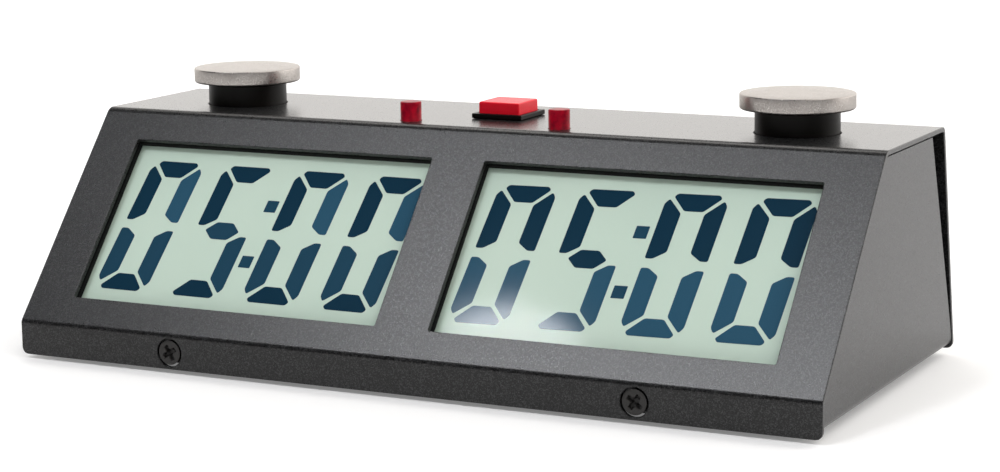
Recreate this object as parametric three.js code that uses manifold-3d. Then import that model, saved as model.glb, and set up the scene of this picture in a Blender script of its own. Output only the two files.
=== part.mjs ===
// Digital chess clock in a folded steel case: a wedge with two slanted seven-segment displays, a sprung plunger
// with a steel disc for each player, and a red push button and two indicator lamps between the plungers.
// Millimetres, +Z up, front towards -Y. The part's origin is on the ground under the middle of the case.
// Case coordinates, used inside the clock group, start at the lower front edge of the lip, at mid width.

import * as THREE from "three";
import { mergeVertices } from "three/addons/utils/BufferGeometryUtils.js";
import Module from "manifold-3d";

const wasm = await Module();
wasm.setup();

// Case, measured over the outside faces.
const CASE_WIDTH = 210;
const LIP_HEIGHT = 8.4;
const CASE_HEIGHT = 56.9;
const SLOPE_RUN = 41;
const TOP_DEPTH = 43.8;
const BACK_RUN = 10.8;
const BACK_LIFT = 0.9;
const CASE_DEPTH = SLOPE_RUN + TOP_DEPTH + BACK_RUN;
const SHEET = 1.2;
const BEND_RADIUS = 2;
const GROUND_GAP = 1;
const GAP = 0.3;
const BACKSET = SHEET + GAP;

// Base tray: its floor sits a little above the lip's lower edge, and its sides close the case's ends.
const TRAY_FLOOR = 1.5;
const TRAY_HALF_WIDTH = CASE_WIDTH / 2 - 0.2;
const TRAY_TOP = CASE_HEIGHT - BACKSET;
const FRONT_FLANGE_TOP = 7.8;
const REAR_FLANGE_TOP = 14;
const REAR_FLANGE_LOW = 2.2;
const FLANGE_HALF_WIDTH = 101;
const SIDE_REAR_TOP_Y = 75.3;
const SIDE_REAR_RUN = 0.353;
const FOOT_RADIUS = 5;
const FOOT_X = 88;
const FOOT_Y = [14, 84];

// Case screws, countersunk with a cross recess.
const SCREW_X = 61.2;
const LIP_SCREW_HEIGHT = 4.15;
const BACK_SCREW_HEIGHT = 8;
const SCREW_HEAD_RADIUS = 3.1;
const SCREW_HOLE_RADIUS = 3.5;

// Display windows in the slope. Heights run up the slope, depths go in from its outer face.
const WINDOW_X = 49.75;
const WINDOW_WIDTH = 85.3;
const WINDOW_LOW = 8;
const WINDOW_HEIGHT = 46.3;
const GLASS_DEPTH = 3.1;
const GLASS_THICK = 2.2;
const BOARD_DEPTH = 8;
const BOARD_THICK = 1.6;
const BOARD_REAR = BOARD_DEPTH + BOARD_THICK;

// Player plungers.
const PLUNGER_X = 76;
const PLUNGER_Y = 62.2;
const DISC_RADIUS = 13.7;
const DISC_THICK = 3.7;
const DISC_TOP = 9.4;
const STEM_RADIUS = 10.1;
const STEM_FLANGE_RADIUS = STEM_RADIUS + 1.6;
const PRESS_TRAVEL = 3;
const ROD_TIP = CASE_HEIGHT - 21;
const LEVER_REACH = 10.5;
const LEVER_TILT = THREE.MathUtils.degToRad(18);

// Red push button and lamps.
const BUTTON_Y = 62.3;
const BUTTON_SIZE = 11.1;
const BUTTON_RISE = 4.1;
const BUTTON_CLEARANCE = 0.15;
const HOUSING_SIZE = 12.2;
const BEZEL_SIZE = 13.6;
const BEZEL_RISE = 1.3;
const LAMP_X = { left: -19.3, right: 21.1 };
const LAMP_Y = 47.2;
const LAMP_RADIUS = 2.6;
const LAMP_FLANGE_RADIUS = 3.2;
const LAMP_RISE = 4.7;
const TOP_BOARD_Z = 44.4;

// Battery bay for four AA cells in two rows, opened from below.
const BAY_Y = 70;
const CELL_RADIUS = 7.25;
const CELL_LENGTH = 50.5;
const CELL_ROW = 7.75;
const CELL_START = 1.8;
const CELL_Z = 11.25;
const DOOR_THICK = 2;

const finish = (color, roughness, metalness = 0) =>
  new THREE.MeshStandardMaterial({ color, roughness, metalness });

const caseCoat = () => finish(0x46464a, 0.55, 0.3);
const blackPlastic = () => finish(0x121212, 0.5);
const springSteel = () => finish(0xb8b8b4, 0.3, 1);
const blackScrew = () => finish(0x1a1a1a, 0.35, 0.8);
const circuitBoard = () => finish(0x1f5a34, 0.5);

// Solid helpers -----------------------------------------------------------------------------------------

function solid(geometry) {
  const bare = geometry.clone();
  bare.deleteAttribute("normal");
  bare.deleteAttribute("uv");
  const merged = mergeVertices(bare, 1e-4);
  const mesh = new wasm.Mesh({
    numProp: 3,
    vertProperties: merged.attributes.position.array,
    triVerts: new Uint32Array(merged.index.array),
  });
  return new wasm.Manifold(mesh);
}

function geometryOf(body) {
  const mesh = body.getMesh();
  const geometry = new THREE.BufferGeometry();
  geometry.setAttribute("position", new THREE.BufferAttribute(mesh.vertProperties, 3));
  geometry.setIndex(new THREE.BufferAttribute(mesh.triVerts, 1));
  geometry.computeVertexNormals();
  return geometry;
}

function blockGeometry([x0, x1], [y0, y1], [z0, z1]) {
  const geometry = new THREE.BoxGeometry(Math.abs(x1 - x0), Math.abs(y1 - y0), Math.abs(z1 - z0));
  return geometry.translate((x0 + x1) / 2, (y0 + y1) / 2, (z0 + z1) / 2);
}

const block = (xs, ys, zs) => solid(blockGeometry(xs, ys, zs));

// A turned piece about +Z from [radius, height] points that run from the axis, out, up and back to it.
function turnedGeometry(profile, segments = 32) {
  const points = profile.map(([radius, height]) => new THREE.Vector2(radius, height));
  return new THREE.LatheGeometry(points, segments).rotateX(Math.PI / 2);
}

const turned = (profile, segments) => solid(turnedGeometry(profile, segments));

function rodGeometry(radius, low, high, segments = 32) {
  const profile = [
    [0, low],
    [radius, low],
    [radius, high],
    [0, high],
  ];
  return turnedGeometry(profile, segments);
}

const rod = (radius, low, high, segments) => solid(rodGeometry(radius, low, high, segments));

// Extrudes an outline given in (y, z) along X, between two X values.
function alongX(shape, x0, x1) {
  const settings = { depth: x1 - x0, bevelEnabled: false, curveSegments: 3 };
  const turn = new THREE.Matrix4().makeBasis(
    new THREE.Vector3(0, 1, 0),
    new THREE.Vector3(0, 0, 1),
    new THREE.Vector3(1, 0, 0),
  );
  return new THREE.ExtrudeGeometry(shape, settings).applyMatrix4(turn).translate(x0, 0, 0);
}

// Extrudes an outline given in (x, z) along Y, between two Y values.
function alongY(shape, y0, y1) {
  const settings = { depth: y1 - y0, bevelEnabled: false, curveSegments: 3 };
  return new THREE.ExtrudeGeometry(shape, settings).rotateX(Math.PI / 2).translate(0, y1, 0);
}

const polygon = (points) => new THREE.Shape(points.map(([x, y]) => new THREE.Vector2(x, y)));

// The section of a sheet folded along a line of corners. The corners are the sharps of the face on the
// outside of the bends, and inside is 1 where the sheet lies to the right of the line, -1 to the left.
function foldedOutline(corners, thickness, bendRadius, inside) {
  const points = corners.map(([x, y]) => new THREE.Vector2(x, y));
  const normals = points.slice(1).map((point, i) => {
    const along = point.clone().sub(points[i]).normalize();
    return new THREE.Vector2(along.y, -along.x).multiplyScalar(inside);
  });
  const bends = points.slice(1, -1).map((point, i) => {
    const [before, after] = [normals[i], normals[i + 1]];
    const reach = bendRadius / (1 + before.dot(after));
    const centre = before.clone().add(after).multiplyScalar(reach).add(point);
    return { centre, from: before.clone().negate().angle(), to: after.clone().negate().angle() };
  });
  const [first, last] = [points[0], points[points.length - 1]];
  const firstInner = normals[0].clone().multiplyScalar(thickness).add(first);
  const lastInner = normals[normals.length - 1].clone().multiplyScalar(thickness).add(last);
  const shape = new THREE.Shape();
  shape.moveTo(first.x, first.y);
  for (const { centre, from, to } of bends) {
    shape.absarc(centre.x, centre.y, bendRadius, from, to, inside > 0);
  }
  shape.lineTo(last.x, last.y);
  shape.lineTo(lastInner.x, lastInner.y);
  for (const { centre, from, to } of [...bends].reverse()) {
    shape.absarc(centre.x, centre.y, bendRadius - thickness, to, from, inside < 0);
  }
  shape.lineTo(firstInner.x, firstInner.y);
  shape.closePath();
  return shape;
}

class Helix extends THREE.Curve {
  constructor(radius, low, high, turns) {
    super();
    Object.assign(this, { radius, low, high, turns });
  }

  getPoint(t, target = new THREE.Vector3()) {
    const angle = t * this.turns * 2 * Math.PI;
    const height = this.low + t * (this.high - this.low);
    return target.set(this.radius * Math.cos(angle), this.radius * Math.sin(angle), height);
  }
}

function roundSection(radius, sides) {
  const corners = Array.from({ length: sides }, (_, i) => {
    const angle = (i / sides) * 2 * Math.PI;
    return [radius * Math.cos(angle), radius * Math.sin(angle)];
  });
  return polygon(corners);
}

function coilSpring(radius, wireRadius, low, high, turns) {
  const path = new Helix(radius, low + wireRadius, high - wireRadius, turns);
  const settings = { steps: Math.round(turns * 8), extrudePath: path, bevelEnabled: false };
  return new THREE.ExtrudeGeometry(roundSection(wireRadius, 5), settings);
}

function wire(radius, points) {
  const path = new THREE.CatmullRomCurve3(points, false, "centripetal");
  const settings = { steps: 14, extrudePath: path, bevelEnabled: false };
  return new THREE.ExtrudeGeometry(roundSection(radius, 6), settings);
}

// Groups: the case, its slope, its lip and its leaning back ---------------------------------------------

const chessClock = new THREE.Group();
const clock = new THREE.Group();
clock.position.set(0, -CASE_DEPTH / 2, GROUND_GAP);
chessClock.add(clock);

// In each face's group local Z points out of the face. Local Y runs up the slope and the lip, down the back.
function faceGroup(y, z, tilt) {
  const group = new THREE.Group();
  group.position.set(0, y, z);
  group.rotation.x = tilt;
  group.updateMatrix();
  clock.add(group);
  return group;
}

const SLOPE_RISE = CASE_HEIGHT - LIP_HEIGHT;
const SLOPE_ANGLE = Math.atan2(SLOPE_RISE, SLOPE_RUN);
const BACK_LEAN = Math.atan2(BACK_RUN, CASE_HEIGHT);
const slope = faceGroup(0, LIP_HEIGHT, SLOPE_ANGLE);
const lip = faceGroup(0, 0, Math.PI / 2);
const back = faceGroup(CASE_DEPTH, 0, BACK_LEAN - Math.PI / 2);

const placed = (geometry, group) => solid(geometry.clone().applyMatrix4(group.matrix));

function piece(parent, name, shape, material, position = [0, 0, 0]) {
  const geometry = shape.isBufferGeometry ? shape : geometryOf(shape);
  const mesh = new THREE.Mesh(geometry, material);
  mesh.name = name;
  mesh.position.set(...position);
  parent.add(mesh);
  return mesh;
}

// Case screws -------------------------------------------------------------------------------------------

const SCREWS = [
  { name: "front_screw_left", face: lip, x: -SCREW_X, y: LIP_SCREW_HEIGHT, turn: 0.7 },
  { name: "front_screw_right", face: lip, x: SCREW_X, y: LIP_SCREW_HEIGHT, turn: 0.25 },
  { name: "rear_screw_left", face: back, x: -SCREW_X, y: -BACK_SCREW_HEIGHT, turn: 0.5 },
  { name: "rear_screw_right", face: back, x: SCREW_X, y: -BACK_SCREW_HEIGHT, turn: 0.1 },
];

function countersunkScrew(turn) {
  const profile = [
    [0, -6.5],
    [1.3, -6.5],
    [1.7, -6],
    [1.7, -2.2],
    [SCREW_HEAD_RADIUS, -0.3],
    [SCREW_HEAD_RADIUS, -0.1],
    [SCREW_HEAD_RADIUS - 0.3, 0],
    [0, 0],
  ];
  const slots = block([-2, 2], [-0.45, 0.45], [-1.3, 1]).add(block([-0.45, 0.45], [-2, 2], [-1.3, 1]));
  return turned(profile, 20).subtract(slots.rotate([0, 0, THREE.MathUtils.radToDeg(turn)]));
}

function screwHole({ face, x, y }) {
  const profile = [
    [0, -8],
    [2, -8],
    [2, -2.35],
    [SCREW_HOLE_RADIUS, -0.4],
    [SCREW_HOLE_RADIUS, 1],
    [0, 1],
  ];
  return placed(turnedGeometry(profile, 20).translate(x, y, 0), face);
}

function addScrews() {
  for (const { name, face, x, y, turn } of SCREWS) {
    piece(face, name, countersunkScrew(turn), blackScrew(), [x, y, 0]);
  }
}

// A square block about the centre button's axis.
function square(half, zs) {
  return block([-half, half], [BUTTON_Y - half, BUTTON_Y + half], zs);
}

// Cover: one folded sheet with lip, slope, top and back -------------------------------------------------

function addCover() {
  const corners = [
    [0, 0],
    [0, LIP_HEIGHT],
    [SLOPE_RUN, CASE_HEIGHT],
    [SLOPE_RUN + TOP_DEPTH, CASE_HEIGHT],
    [CASE_DEPTH - BACK_LIFT * Math.tan(BACK_LEAN), BACK_LIFT],
  ];
  const outline = foldedOutline(corners, SHEET, BEND_RADIUS, 1);
  const half = CASE_WIDTH / 2;
  let cover = solid(alongX(outline, -half, half));

  const front = new THREE.Shape();
  front.moveTo(-half + BEND_RADIUS, 0);
  front.lineTo(half - BEND_RADIUS, 0);
  front.absarc(half - BEND_RADIUS, BEND_RADIUS, BEND_RADIUS, -Math.PI / 2, 0, false);
  front.lineTo(half, CASE_HEIGHT + 1);
  front.lineTo(-half, CASE_HEIGHT + 1);
  front.absarc(-half + BEND_RADIUS, BEND_RADIUS, BEND_RADIUS, Math.PI, 1.5 * Math.PI, false);
  cover = cover.intersect(solid(alongY(front, -1, CASE_DEPTH + 1)));

  const throughTop = [CASE_HEIGHT - 3, CASE_HEIGHT + 1];
  for (const [hand, side] of [["left", -1], ["right", 1]]) {
    const xs = [side * WINDOW_X - WINDOW_WIDTH / 2, side * WINDOW_X + WINDOW_WIDTH / 2];
    const opening = blockGeometry(xs, [WINDOW_LOW, WINDOW_LOW + WINDOW_HEIGHT], [-3, 2]);
    const stemHole = rod(STEM_RADIUS + GAP, ...throughTop, 40);
    const lampHole = rod(LAMP_RADIUS + GAP, ...throughTop, 24);
    cover = cover
      .subtract(placed(opening, slope))
      .subtract(stemHole.translate([side * PLUNGER_X, PLUNGER_Y, 0]))
      .subtract(lampHole.translate([LAMP_X[hand], LAMP_Y, 0]));
  }
  cover = cover.subtract(square(HOUSING_SIZE / 2 + GAP, throughTop));
  for (const screw of SCREWS) {
    cover = cover.subtract(screwHole(screw));
  }
  piece(clock, "cover", cover, caseCoat());
}

// Base tray: floor, sides and the two flanges that take the case screws ---------------------------------

const BAY_OPENING = {
  x: [-56.3, 56.3],
  y: [BAY_Y - 17.1, BAY_Y + 16.8],
};

function addBaseTray() {
  const section = foldedOutline(
    [
      [-TRAY_HALF_WIDTH, TRAY_TOP],
      [-TRAY_HALF_WIDTH, TRAY_FLOOR],
      [TRAY_HALF_WIDTH, TRAY_FLOOR],
      [TRAY_HALF_WIDTH, TRAY_TOP],
    ],
    SHEET,
    BEND_RADIUS,
    -1,
  );
  const slopeAt = (z) => ((z - LIP_HEIGHT) * SLOPE_RUN) / SLOPE_RISE + BACKSET / Math.sin(SLOPE_ANGLE);
  const backAt = (z) => CASE_DEPTH - z * Math.tan(BACK_LEAN) - BACKSET / Math.cos(BACK_LEAN);
  const sideAt = (z) => SIDE_REAR_TOP_Y + (TRAY_TOP - z) * SIDE_REAR_RUN;
  const sideAtGround = sideAt(0);
  const crossing = (sideAtGround - backAt(0)) / (SIDE_REAR_RUN - Math.tan(BACK_LEAN));
  const lowFront = LIP_HEIGHT + ((BACKSET - BACKSET / Math.sin(SLOPE_ANGLE)) * SLOPE_RISE) / SLOPE_RUN;
  const side = polygon([
    [BACKSET, TRAY_FLOOR],
    [backAt(TRAY_FLOOR), TRAY_FLOOR],
    [sideAt(crossing), crossing],
    [SIDE_REAR_TOP_Y, TRAY_TOP],
    [slopeAt(TRAY_TOP), TRAY_TOP],
    [BACKSET, lowFront],
  ]);
  const flangeX = [-FLANGE_HALF_WIDTH, FLANGE_HALF_WIDTH];
  const flangeDepth = [-BACKSET - SHEET, -BACKSET];
  const frontFlange = blockGeometry(flangeX, [TRAY_FLOOR, FRONT_FLANGE_TOP], flangeDepth);
  const rearFlange = blockGeometry(flangeX, [-REAR_FLANGE_TOP, -REAR_FLANGE_LOW], flangeDepth);
  let tray = solid(alongY(section, 0, CASE_DEPTH))
    .intersect(solid(alongX(side, -CASE_WIDTH / 2, CASE_WIDTH / 2)))
    .add(placed(frontFlange, lip))
    .add(placed(rearFlange, back))
    .subtract(block(BAY_OPENING.x, BAY_OPENING.y, [0, TRAY_FLOOR + SHEET + 0.1]));
  for (const screw of SCREWS) {
    tray = tray.subtract(screwHole(screw));
  }
  piece(clock, "base_tray", tray, caseCoat());
}

function addFeet() {
  const height = TRAY_FLOOR + GROUND_GAP - 0.1;
  const profile = [
    [0, 0],
    [FOOT_RADIUS - 0.6, 0],
    [FOOT_RADIUS, height],
    [0, height],
  ];
  for (const [end, y] of [["front", FOOT_Y[0]], ["rear", FOOT_Y[1]]]) {
    for (const [hand, side] of [["left", -1], ["right", 1]]) {
      const material = finish(0x151515, 0.9);
      piece(clock, `${end}_foot_${hand}`, turned(profile, 24), material, [side * FOOT_X, y, -GROUND_GAP]);
    }
  }
}

// Displays ----------------------------------------------------------------------------------------------

const BOARD_SCREW_X = 99.7;
const BOARD_SCREW_Y = [11, 51];

// The moulded frame behind a window: its rim is the black wall seen in the opening, and it holds the glass.
function displayFrame(side) {
  const centre = side * WINDOW_X;
  const middle = WINDOW_LOW + WINDOW_HEIGHT / 2;
  const ring = (margin, depths) => {
    const halfWidth = WINDOW_WIDTH / 2 + margin;
    const halfHeight = WINDOW_HEIGHT / 2 + margin;
    const ys = [middle - halfHeight, middle + halfHeight];
    return block([centre - halfWidth, centre + halfWidth], ys, depths);
  };
  const rear = -BOARD_DEPTH + GAP;
  let frame = ring(5, [rear, -BACKSET])
    .subtract(ring(3.8, [rear - 1, -GLASS_DEPTH + GAP]))
    .subtract(ring(-0.15, [-GLASS_DEPTH - 1, 0]));
  for (const y of BOARD_SCREW_Y) {
    const ear = block([side * 97, side * 102], [y - 3, y + 3], [rear, -BACKSET]);
    const hole = rod(1.35, rear - 1, -BACKSET - 1.5, 10).translate([side * BOARD_SCREW_X, y, 0]);
    frame = frame.add(ear).subtract(hole);
  }
  return frame;
}

function addDisplays() {
  const glassMargin = 3.5;
  const middle = WINDOW_LOW + WINDOW_HEIGHT / 2;
  const halfWidth = WINDOW_WIDTH / 2 + glassMargin;
  const halfHeight = WINDOW_HEIGHT / 2 + glassMargin;
  for (const [hand, side] of [["left", -1], ["right", 1]]) {
    const xs = [side * WINDOW_X - halfWidth, side * WINDOW_X + halfWidth];
    const glassRear = -GLASS_DEPTH - GLASS_THICK;
    piece(slope, `${hand}_display_frame`, displayFrame(side), blackPlastic());
    const panel = blockGeometry(xs, [middle - halfHeight, middle + halfHeight], [glassRear, -GLASS_DEPTH]);
    piece(slope, `${hand}_lcd_panel`, panel, finish(0xc6d6c8, 0.12));
    for (const [end, way] of [["upper", 1], ["lower", -1]]) {
      const edge = middle + way * (halfHeight - 0.6);
      const ys = [edge - way * 2.4, edge];
      const strip = blockGeometry([xs[0] + 2, xs[1] - 2], ys, [-BOARD_DEPTH + GAP, glassRear - GAP]);
      piece(slope, `${hand}_contact_strip_${end}`, strip, finish(0x8a8f8a, 0.8));
    }
  }
}

// Main circuit board, behind both displays and parallel to the slope ------------------------------------

function addMainBoard() {
  let board = block([-102, 102], [3, 60], [-BOARD_REAR, -BOARD_DEPTH]);
  const screwProfile = [
    [0, -2],
    [1.9, -2],
    [2.2, -1.4],
    [2.2, 0],
    [1.05, 0],
    [1.05, 5.5],
    [0, 5.5],
  ];
  for (const [hand, side] of [["left", -1], ["right", 1]]) {
    for (const [end, y] of [["lower", BOARD_SCREW_Y[0]], ["upper", BOARD_SCREW_Y[1]]]) {
      const x = side * BOARD_SCREW_X;
      board = board.subtract(rod(1.35, -BOARD_REAR - 1, -BOARD_DEPTH + 1, 10).translate([x, y, 0]));
      const place = [x, y, -BOARD_REAR - GAP];
      piece(slope, `board_screw_${hand}_${end}`, turned(screwProfile, 12), springSteel(), place);
    }
  }
  piece(slope, "main_board", board, circuitBoard());
  const onBoard = -BOARD_REAR - GAP;
  const chip = blockGeometry([-32, -18], [24, 38], [onBoard - 1.6, onBoard]);
  piece(slope, "controller_chip", chip, finish(0x17181a, 0.6));
  const crystal = blockGeometry([-13, -2], [26, 30.5], [onBoard - 3.5, onBoard]);
  piece(slope, "timing_crystal", crystal, finish(0xc0c0c0, 0.25, 1));
  const buzzerProfile = [
    [0, -7],
    [1.2, -7],
    [1.2, -8],
    [6.4, -8],
    [7, -7.4],
    [7, 0],
    [0, 0],
  ];
  piece(slope, "buzzer", turned(buzzerProfile, 16), blackPlastic(), [24, 31, onBoard]);
}

// Player plungers ---------------------------------------------------------------------------------------

function discCap() {
  const top = CASE_HEIGHT + DISC_TOP;
  const under = top - DISC_THICK;
  const profile = [
    [0, under - 4.5],
    [5, under - 4.5],
    [5, under],
    [DISC_RADIUS - 0.7, under],
    [DISC_RADIUS, under + 0.5],
    [DISC_RADIUS, top - 0.4],
    [DISC_RADIUS - 0.4, top],
    [0, top],
  ];
  return turned(profile, 40);
}

// The stem is stopped at rest by its shoulder under the sheet, and its rod works the switch.
function plungerStem() {
  const top = CASE_HEIGHT + DISC_TOP - DISC_THICK - GAP;
  const shoulder = CASE_HEIGHT - BACKSET;
  const profile = [
    [0, ROD_TIP],
    [1.5, ROD_TIP],
    [1.5, ROD_TIP + 1.5],
    [3, ROD_TIP + 2.5],
    [3, shoulder - 3],
    [STEM_FLANGE_RADIUS, shoulder - 3],
    [STEM_FLANGE_RADIUS, shoulder],
    [STEM_RADIUS, shoulder],
    [STEM_RADIUS, top],
    [5.3, top],
    [5.3, top - 5],
    [0, top - 5],
  ];
  return turned(profile, 28);
}

const GUIDE_FLOOR = 42;

function plungerGuide() {
  const flangeTop = CASE_HEIGHT - BACKSET;
  const profile = [
    [3.3, GUIDE_FLOOR - 3],
    [13.5, GUIDE_FLOOR - 3],
    [13.5, flangeTop - 2],
    [17, flangeTop - 2],
    [17, flangeTop],
    [12, flangeTop],
    [12, GUIDE_FLOOR],
    [3.3, GUIDE_FLOOR],
    [3.3, GUIDE_FLOOR - 3],
  ];
  return turned(profile, 28).add(block([-8, 8], [3.5, 5.5], [22, GUIDE_FLOOR - 2]));
}

const LEVER_PIVOT = {
  x: 1.5 - LEVER_REACH,
  z: ROD_TIP - GAP - LEVER_REACH * Math.tan(LEVER_TILT) - 0.2 / Math.cos(LEVER_TILT),
};

function microSwitch() {
  const top = LEVER_PIVOT.z - 0.9;
  let body = block([-10, 10], [-3.2, 3.2], [top - 10.2, top]);
  for (const side of [-1, 1]) {
    body = body.add(block([-10, -8], [side * 2.4, side * 3], [top - 1, top + 1.6]));
  }
  for (const x of [-8, 0, 8]) {
    body = body.add(block([x - 0.3, x + 0.3], [-1.6, 1.6], [top - 14, top - 9]));
  }
  return body;
}

function switchLever() {
  const arm = blockGeometry([0, 17], [-2, 2], [-0.2, 0.2]);
  return arm.rotateY(-LEVER_TILT).translate(LEVER_PIVOT.x, 0, LEVER_PIVOT.z);
}

function addPlungers() {
  for (const [hand, side] of [["left", -1], ["right", 1]]) {
    const place = [side * PLUNGER_X, PLUNGER_Y, 0];
    const spring = coilSpring(8, 0.7, GUIDE_FLOOR + 0.2, CASE_HEIGHT - BACKSET - PRESS_TRAVEL - 0.2, 4);
    piece(clock, `${hand}_button_disc`, discCap(), finish(0xc9c5c0, 0.32, 1), place);
    piece(clock, `${hand}_button_stem`, plungerStem(), blackPlastic(), place);
    piece(clock, `${hand}_button_guide`, plungerGuide(), blackPlastic(), place);
    piece(clock, `${hand}_button_spring`, spring, springSteel(), place);
    piece(clock, `${hand}_micro_switch`, microSwitch(), blackPlastic(), place);
    piece(clock, `${hand}_switch_lever`, switchLever(), springSteel(), place);
  }
}

// Red push button, lamps and their board ----------------------------------------------------------------

function addCentreControls() {
  const well = CASE_HEIGHT - 5.4;
  const housingFloor = TOP_BOARD_Z + BOARD_THICK + GAP;
  const springWell = rod(3.9, housingFloor + 1.4, well + 1, 24).translate([0, BUTTON_Y, 0]);
  const housing = square(BEZEL_SIZE / 2, [CASE_HEIGHT + 0.1, CASE_HEIGHT + BEZEL_RISE])
    .add(square(HOUSING_SIZE / 2, [housingFloor, CASE_HEIGHT + 0.5]))
    .subtract(square(BUTTON_SIZE / 2 + BUTTON_CLEARANCE, [well, CASE_HEIGHT + 5]))
    .subtract(springWell);
  piece(clock, "centre_button_housing", housing, blackPlastic());

  const capLow = CASE_HEIGHT - 3.2;
  const cap = square(BUTTON_SIZE / 2, [capLow, CASE_HEIGHT + BUTTON_RISE]).add(
    rod(1.6, capLow - 3, capLow + 1, 20).translate([0, BUTTON_Y, 0]),
  );
  piece(clock, "centre_button_cap", cap, finish(0xc4102a, 0.35));
  const spring = coilSpring(2.9, 0.35, housingFloor + 1.6, capLow - 0.2, 4);
  piece(clock, "centre_button_spring", spring, springSteel(), [0, BUTTON_Y, 0]);

  const lampTop = CASE_HEIGHT + LAMP_RISE;
  const lampFloor = CASE_HEIGHT - 3.9;
  const lampProfile = [
    [0, lampFloor],
    [LAMP_FLANGE_RADIUS, lampFloor],
    [LAMP_FLANGE_RADIUS, lampFloor + 1],
    [LAMP_RADIUS, lampFloor + 1],
    [LAMP_RADIUS, lampTop - 0.25],
    [LAMP_RADIUS - 0.25, lampTop],
    [0, lampTop],
  ];
  let board = block([-32, 32], [LAMP_Y - 1.6, 76.5], [TOP_BOARD_Z, TOP_BOARD_Z + BOARD_THICK]);
  for (const hand of ["left", "right"]) {
    let lamp = turned(lampProfile, 20);
    for (const x of [-1.27, 1.27]) {
      lamp = lamp.add(block([x - 0.25, x + 0.25], [-0.25, 0.25], [TOP_BOARD_Z - 0.6, lampFloor + 0.5]));
      const hole = rod(0.7, TOP_BOARD_Z - 1, TOP_BOARD_Z + 3, 8);
      board = board.subtract(hole.translate([LAMP_X[hand] + x, LAMP_Y, 0]));
    }
    piece(clock, `${hand}_lamp`, lamp, finish(0x9c1020, 0.15), [LAMP_X[hand], LAMP_Y, 0]);
  }
  piece(clock, "top_board", board, circuitBoard());
}

// Battery bay -------------------------------------------------------------------------------------------

function addBatteryBay() {
  const wallLow = TRAY_FLOOR + DOOR_THICK + 0.4;
  const tail = [10.6, 12];
  let holder = block([-57, 57], [BAY_Y - 17.5, BAY_Y + 17.5], [wallLow, 20.5]).subtract(
    block([-55.4, 55.4], [BAY_Y - 15.7, BAY_Y + 15.7], [0, 19]),
  );
  for (const side of [-1, 1]) {
    const lug = block([side * 56, side * 65], [BAY_Y - 6, BAY_Y + 6], [TRAY_FLOOR + SHEET + 0.1, 6]);
    const hook = block([side * 50, side * 57.2], [BAY_Y - 18, BAY_Y + 18], [0, wallLow]);
    const row = BAY_Y + side * CELL_ROW;
    holder = holder.add(lug.subtract(hook)).subtract(block([50, 60], [row - 1.5, row + 1.5], tail));
  }
  piece(clock, "battery_holder", holder, blackPlastic());

  // Cells in one row face the opposite way to the other row's, so that the four are in series.
  const nub = CELL_LENGTH - 1.3;
  const cellProfile = [
    [0, 0],
    [6.8, 0],
    [CELL_RADIUS, 0.4],
    [CELL_RADIUS, nub - 0.4],
    [6.8, nub],
    [2.75, nub],
    [2.75, CELL_LENGTH],
    [0, CELL_LENGTH],
  ];
  for (const [row, way] of [["front", -1], ["rear", 1]]) {
    for (const [hand, start] of [["left", -CELL_START - CELL_LENGTH], ["right", CELL_START]]) {
      const cell = turnedGeometry(cellProfile, 16);
      cell.rotateY((way * Math.PI) / 2).translate(way < 0 ? CELL_LENGTH : 0, 0, 0);
      const place = [start, BAY_Y + way * CELL_ROW, CELL_Z];
      piece(clock, `battery_cell_${row}_${hand}`, cell, finish(0x2f6e9e, 0.35, 0.5), place);
    }
  }

  const plateX = CELL_START + CELL_LENGTH + 2;
  const bump = rod(2.2, -1.4, 0.2, 12).rotate([0, 90, 0]);
  const terminal = (name, way) => {
    const y = BAY_Y + way * CELL_ROW;
    const plate = block([plateX, plateX + 0.5], [y - 5.5, y + 5.5], [5, 17.5])
      .add(bump.translate([plateX, y, CELL_Z]))
      .add(block([plateX, 59], [y - 1, y + 1], [tail[0] + 0.4, tail[1] - 0.4]));
    piece(clock, name, plate, springSteel());
  };
  terminal("battery_positive_contact", 1);
  terminal("battery_negative_contact", -1);
  const outward = bump.mirror([1, 0, 0]);
  let link = block([-plateX - 0.5, -plateX], [BAY_Y - 13, BAY_Y + 13], [5, 17.5]);
  for (const way of [-1, 1]) {
    const y = BAY_Y + way * CELL_ROW;
    link = link.add(outward.translate([-plateX, y, CELL_Z]));
    const side = rod(2.2, -1.2, 1.2, 12).rotate([0, 90, 0]).translate([0, y, CELL_Z]);
    const middle = block([-0.25, 0.25], [y - 5.5, y + 5.5], [5, 18.7]).add(side);
    piece(clock, `battery_middle_contact_${way < 0 ? "front" : "rear"}`, middle, springSteel());
  }
  piece(clock, "battery_link_contact", link, springSteel());
}

// The door turns on its rounded front edge, and the tongue at its rear edge snaps into the bay.
const DOOR_PIVOT = { y: BAY_Y - 15.8, z: TRAY_FLOOR + DOOR_THICK / 2 };

function addBatteryDoor() {
  const rearEdge = BAY_Y + 16.4;
  const radius = DOOR_THICK / 2;
  const section = new THREE.Shape();
  section.moveTo(rearEdge, DOOR_PIVOT.z - radius);
  section.lineTo(rearEdge, DOOR_PIVOT.z + radius);
  section.lineTo(DOOR_PIVOT.y, DOOR_PIVOT.z + radius);
  section.absarc(DOOR_PIVOT.y, DOOR_PIVOT.z, radius, Math.PI / 2, 1.5 * Math.PI, false);
  const tongue = block([-6, 6], [BAY_Y + 14, BAY_Y + 15.2], [DOOR_PIVOT.z, 6.8]);
  const fingerGrip = block([-9, 9], [rearEdge - 7, rearEdge - 4], [0, TRAY_FLOOR + 0.8]);
  const door = solid(alongX(section, -55.8, 55.8)).add(tongue).subtract(fingerGrip);
  piece(clock, "battery_door", door, blackPlastic());
}

// Internal wiring, held between its two ends ------------------------------------------------------------

function behindBoard(x, y, away) {
  return new THREE.Vector3(x, y, -BOARD_REAR - away).applyMatrix4(slope.matrix);
}

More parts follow.
